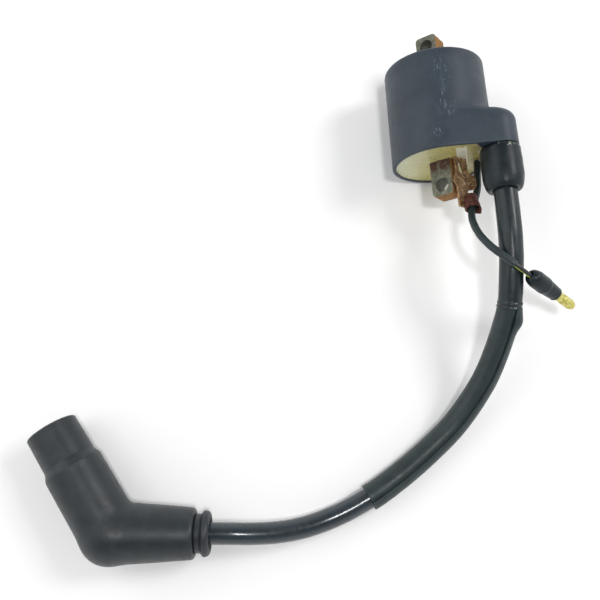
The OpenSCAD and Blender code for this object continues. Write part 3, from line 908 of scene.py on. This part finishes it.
def make_cap_shell(finish):
    """Elbow moulding: rings round a bent middle line, each point pushed out to the skin."""
    bend = 13.0
    turn = math.pi - elbow_angle
    tangent = bend * math.tan(turn / 2)
    sides = 128
    arm_axis = ARM.to_3x3() @ Vector((1, 0, 0))
    branch_axis = BRANCH.to_3x3() @ Vector((1, 0, 0))
    up = Vector((0, 0, 1))
    rings = []
    for s in list(np.linspace(arm_len - 0.5, 31.5, 24)) + list(np.linspace(31.1, 26.6, 22)) + list(
            np.linspace(26, tangent, 26)):
        rings.append((cap_elbow + float(s) * arm_axis, -arm_axis))
    start = cap_elbow + tangent * arm_axis
    side = (branch_axis - branch_axis.dot(arm_axis) * arm_axis).normalized()
    pivot = start + bend * side
    for share in np.linspace(0, 1, 34)[1:-1]:
        spin = Matrix.Rotation(share * turn, 3, up)
        rings.append((pivot + spin @ (start - pivot), spin @ -arm_axis))
    for s in list(np.linspace(tangent, 28.4, 34)) + list(np.linspace(28.8, branch_end, 10)):
        rings.append((cap_elbow + float(s) * branch_axis, branch_axis))
    centres, outward = [], []
    for centre, ahead in rings:
        sideways = ahead.cross(up).normalized()
        for k in range(sides):
            a = TURN * k / sides
            centres.append(centre)
            outward.append(math.cos(a) * sideways + math.sin(a) * up)
    centres, outward = np.array(centres), np.array(outward)
    low, high = np.zeros(len(centres)), np.full(len(centres), 22.0)
    for _ in range(36):
        middle = (low + high) / 2
        inside = cap_field(centres + outward * middle[:, None]) < 0
        low, high = np.where(inside, middle, low), np.where(inside, high, middle)
    wave = np.array([0.07 * noise.noise(Vector(c) * 0.09) for c in centres + outward * low[:, None]])
    points = centres + outward * (low + wave)[:, None]
    points[:, 2] = np.maximum(points[:, 2], 0.02)
    faces = grid_faces(len(rings), sides)
    body = points.tolist(), faces
    mouth = [(arm_len - 0.5, 9.65), (arm_len, 9.2), (arm_len, 7.75), (arm_len - 0.9, 7.15), (31, 7.15)]
    tip = lathe(rounded(mouth, [0.35, 0.4, 0.5]), sides)
    tip_points = [tuple(ARM @ Vector(p)) for p in tip[0]]
    heel = lathe([(branch_end, 8.3), (branch_end + 0.05, 7.6), (branch_end, 6.5), (27, 6.1)], sides)
    heel_points = [tuple(BRANCH @ Vector(p)) for p in heel[0]]
    add_piece("cap_skin", *join_shells(body, (tip_points, tip[1]), (heel_points, heel[1])), ROW, finish,
              "plug_cap", ["cap_shell"], "cap_rubber")


def make_cap_seals(cable_finish, plug_finish):
    """Flanged seal round the lead, and the ribbed seal in the mouth."""
    profile = rounded(
        [(27, 6.0), (30.5, 6.6), (30.9, 6.95), (32.6, 6.95), (33.2, 7.35), (33.7, 8.1), (34.4, 8.2),
         (35.5, 7.9), (36.2, 7.0), (36.15, 6.1), (35.2, 5.4), (35.0, 4.1), (33, 4.05)],
        [0.3, 0.3, 0.3, 0.3, 0.5, 0.5, 0.6, 0.5, 0.3, 0.4, 0.3])
    add_piece("cable_seal_skin", *lathe(profile, 96, 0.05, 0.3), BRANCH, cable_finish, "plug_cap",
              ["cable_seal"], "boot_rubber")
    corners = [(32.1, 7.1), (32.0, 5.5)]
    for k in range(4):
        s = 33.2 + 2.6 * k
        corners += [(s, 5.55), (s + 0.8, 5.22), (s + 1.6, 5.55)]
    corners += [(43.4, 5.6), (44.1, 6.2), (44.1, 7.1)]
    add_piece("plug_seal_skin", *lathe(rounded(corners, 0.35, 3), 96), ARM, plug_finish, "plug_cap",
              ["plug_seal"], "boot_rubber")


# ---------------------------------------------------------------- earth strap


def strap_point(y, w):
    """A point of the strap's underside in the coil's frame, a share w of its width down from its upper edge."""
    lean = math.radians(plate_lean)
    tab = np.clip((-y - 5.2) / 0.8, 0, 1) * np.clip((12 + y) / 0.6, 0, 1)
    narrow = np.clip((-y - 11.4) / 1.2, 0, 1)
    full = plate_w + (tongue_w - plate_w) * narrow
    width = full + tab_w * tab
    down = width * w
    curl = 0.42 * max(0, down - full + 1.2) ** 1.3
    flare = 1.6 * max(0, 1 - w / 0.22) * math.exp(-(((y + 8.5) / 1.8) ** 2))
    bow = 0.14 * noise.noise(Vector((y * 0.3, down * 0.4, 1)))
    out = core_w / 2 + plate_gap + curl + bow
    return (out + down * math.sin(lean) - 0.4 * flare, y, plate_high - down * math.cos(lean) + 0.8 * flare)


def make_strap(finish):
    """Copper-plated strip beside the core: slotted plate with a curled edge and a narrower tongue."""
    length_steps, width_steps = 72, 36
    thick = 0.8
    lean = math.radians(plate_lean)
    places = [(strap_start - strap_len * i / length_steps, k / width_steps)
              for i in range(length_steps + 1) for k in range(width_steps + 1)]
    under = [strap_point(y, w) for y, w in places]
    upper = [(x + thick * math.cos(lean), y, z + thick * math.sin(lean)) for x, y, z in under]
    columns = width_steps + 1

    def in_slot(i, k):
        y = strap_start - strap_len * (i + 0.5) / length_steps
        down = plate_w * (k + 0.5) / width_steps
        middle = 2.9 + 0.3 * (slot_y - y)
        return ((y - slot_y) / 3.3) ** 2 + ((down - middle) / 1.5) ** 2 < 1

    faces = []
    offset = len(under)
    solid = {(i, k) for i in range(length_steps) for k in range(width_steps) if not in_slot(i, k)}
    for i, k in sorted(solid):
        a, b, c, d = (i * columns + k, i * columns + k + 1, (i + 1) * columns + k + 1, (i + 1) * columns + k)
        faces.append((d, c, b, a))
        faces.append((offset + a, offset + b, offset + c, offset + d))
        sides = (((i - 1, k), a, b), ((i, k + 1), b, c), ((i + 1, k), c, d), ((i, k - 1), d, a))
        for beside, p, q in sides:
            if beside not in solid:
                faces.append((p, q, offset + q, offset + p))
    used = sorted({v for face in faces for v in face})
    index = {v: n for n, v in enumerate(used)}
    every = under + upper
    points = [every[v] for v in used]
    faces = [tuple(index[v] for v in face) for face in faces]
    add_piece("earth_strap_plate", points, faces, COIL, finish, "coil", ["earth_strap"], "coppered_steel")


def make_band(finish):
    """Flattened crimp band round the primary lead, lapped, with one corner left long."""
    tilt = Matrix.Rotation(math.radians(-band_tilt), 4, "X")
    place = COIL @ Matrix.Translation(band_at) @ Matrix.Rotation(roll, 4, "Y") @ tilt
    rows, columns = 24, 72
    top, thick = 3.2, 0.45
    outer, inner = [], []
    for k in range(columns):
        t = k / (columns - 1)
        a = math.radians(-150 + 385 * t)
        stretch = 1.45 if math.cos(a) < 0 else 1.25
        bottom = -3.3 - 1.9 * max(0, 1 - abs(t - 0.32) / 0.16)
        for i in range(rows):
            share = i / (rows - 1)
            y = top + (bottom - top) * share
            dent = 0.2 * noise.noise(Vector((math.cos(a) * 1.4, math.sin(a) * 1.4, y * 0.5)))
            r = 2.1 + 0.25 * t + dent
            for skin, radius in ((outer, r), (inner, r - thick)):
                skin.append((stretch * radius * math.cos(a) - 0.3, y, radius * math.sin(a)))
    count = len(outer)
    faces = grid_faces(columns, rows, ring=False, flip=True)
    faces += [tuple(count + v for v in face[::-1]) for face in faces]
    rim = [k * rows for k in range(columns)]
    rim += [(columns - 1) * rows + i for i in range(1, rows)]
    rim += [k * rows + rows - 1 for k in range(columns - 2, -1, -1)]
    rim += [i for i in range(rows - 2, 0, -1)]
    for a, b in zip(rim, rim[1:] + rim[:1]):
        faces.append((a, b, count + b, count + a))
    add_piece("crimp_band", outer + inner, faces, place, finish, "coil", (), "coppered_steel")


# ---------------------------------------------------------------- stage


def make_stage():
    """Pale floor, three soft lamps, and a sky that is brighter low down than overhead."""
    mesh = bpy.data.meshes.new("floor")
    half = 3.0
    corners = [(-half, -half, 0), (half, -half, 0), (half, half, 0), (-half, half, 0)]
    mesh.from_pydata(corners, [], [(0, 1, 2, 3)])
    floor = bpy.data.objects.new("floor", mesh)
    bpy.context.scene.collection.objects.link(floor)
    f = Finish("floor", roughness=0.9, specular=0.1)
    f.colour(f.ramp(f.noise(60, 2), (0.3, "#fafafa"), (0.7, "#fcfcfc")))
    mesh.materials.append(f.material)
    lights = (
        ("key", (0.62, 0.18, 0.72), 0.3, 3.7),
        ("fill", (-0.6, 0.1, 0.6), 0.7, 2.0),
        ("top", (0.02, -0.16, 0.9), 0.1, 2.3),
    )
    for name, place, size, power in lights:
        data = bpy.data.lights.new(name, "AREA")
        data.size = size
        data.energy = power
        lamp = bpy.data.objects.new(name, data)
        lamp.location = place
        aim = Vector((-0.05, -0.06, 0.02)) - Vector(place)
        lamp.rotation_euler = aim.to_track_quat("-Z", "Y").to_euler()
        bpy.context.scene.collection.objects.link(lamp)
    world = bpy.data.worlds.new("studio")
    world.use_nodes = True
    tree = world.node_tree
    split = tree.nodes.new("ShaderNodeSeparateXYZ")
    tree.links.new(tree.nodes.new("ShaderNodeTexCoord").outputs["Generated"], split.inputs["Vector"])
    fade = tree.nodes.new("ShaderNodeMapRange")
    fade.inputs["From Min"].default_value = 0.15
    fade.inputs["From Max"].default_value = 0.85
    fade.inputs["To Min"].default_value = 1.15
    fade.inputs["To Max"].default_value = 0.16
    tree.links.new(split.outputs["Z"], fade.inputs["Value"])
    tree.links.new(fade.outputs["Result"], tree.nodes["Background"].inputs["Strength"])
    tree.nodes["Background"].inputs["Color"].default_value = (1.0, 1.0, 1.0, 1)
    bpy.context.scene.world = world
    bpy.context.scene.view_settings.view_transform = "Standard"


# ---------------------------------------------------------------- the whole object


def dress_frame(finishes):
    """Gives the CAD nodes that stay their finishes."""
    for node, finish in finishes.items():
        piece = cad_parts[node]
        piece.data.materials.clear()
        piece.data.materials.append(finish)


make_camera()
make_stage()

glossy = rubber_finish("sleeve_glossy", "#0c171b", "#142328", 0.36, 1.2, 0.02, specular=0.4,
                       coat=0.1, coat_roughness=0.22)
matte = rubber_finish("sleeve_matte", "#192526", "#243234", 0.42, 0.6, 0.02, specular=0.42)
insulation = rubber_finish("lead_insulation", "#1a252c", "#232f36", 0.27, 2.0, 0.02, coat=0.45,
                           coat_roughness=0.15)
boot_rubber = rubber_finish("boot_rubber", "#0b1519", "#132026", 0.38, 0.5, 0.02, specular=0.32)
tower_rubber = rubber_finish("tower_boot_rubber", "#0b1519", "#132026", 0.38, 0.5, 0.02, specular=0.32,
                             residue=(((15.5, -16.9, 40), (4.2, 1.5, 3)), ((22.3, -16.7, 34.5), (2, 1.2, 3.5))))
cap_rubber = rubber_finish("cap_rubber", "#10181d", "#1b252b", 0.43, 0.38, 0.06, specular=0.55)
seal_rubber = rubber_finish("seal_rubber", "#1b2026", "#252a30", 0.45, 0.5, 0.02)
wire_black = rubber_finish("wire_insulation", "#14171a", "#1d2125", 0.35, 0.8, 0.01)
wire_yellow = plain_finish("wire_stripe", "#b8c91e", "#d3e23a", 0.4)
brass = brass_finish()
steel = steel_finish()
rust = rust_finish()
strap = strap_finish()
copper = plain_finish("copper_wire", "#8a4a22", "#b8622d", 0.35, 0.8, 0.3)
phenolic = plain_finish("phenolic", "#3c2e22", "#4f3d2d", 0.5)
ceramic = plain_finish("resistor_ceramic", "#cbbfa8", "#e0d6c2", 0.6)
spring = plain_finish("spring_steel", "#8f9296", "#c0c3c6", 0.3, 0.9, 0.4)
bobbin = plain_finish("bobbin_plastic", "#26262a", "#d0c9b6", 0.5)

lead_track = Track(HT_ROUTE)
primary_track = Track(PRIMARY_ROUTE)
lead = curve_cord("high_tension_lead", lead_track, lead_r, insulation, "coil", ["ht_lead"])
wire = curve_cord("primary_wire_skin", primary_track, wire_r, wire_black, "coil", ["primary_wire"])

make_case(case_finish())
make_resin(resin_finish())
make_core(steel, rust)
make_boot(tower_rubber)
make_upper_sleeve(lead_track, glossy)
make_lower_sleeve(lead_track, matte)
sleeve, stripe = make_primary(primary_track, matte, wire_yellow)
cover, bullet = make_connector(boot_rubber, brass)
make_cap_shell(cap_rubber)
make_cap_seals(seal_rubber, seal_rubber)
make_strap(strap)
make_band(band_finish())
dress_frame({
    "primary_bobbin": bobbin,
    "primary_winding": copper,
    "secondary_bobbin": bobbin,
    "secondary_winding": copper,
    "output_link": brass,
    "tower_terminal": brass,
    "ht_conductor": copper,
    "cap_insulator": phenolic,
    "resistor": ceramic,
    "resistor_spring": spring,
    "plug_terminal": brass,
    "retaining_clip": spring,
    "cable_screw": brass,
})
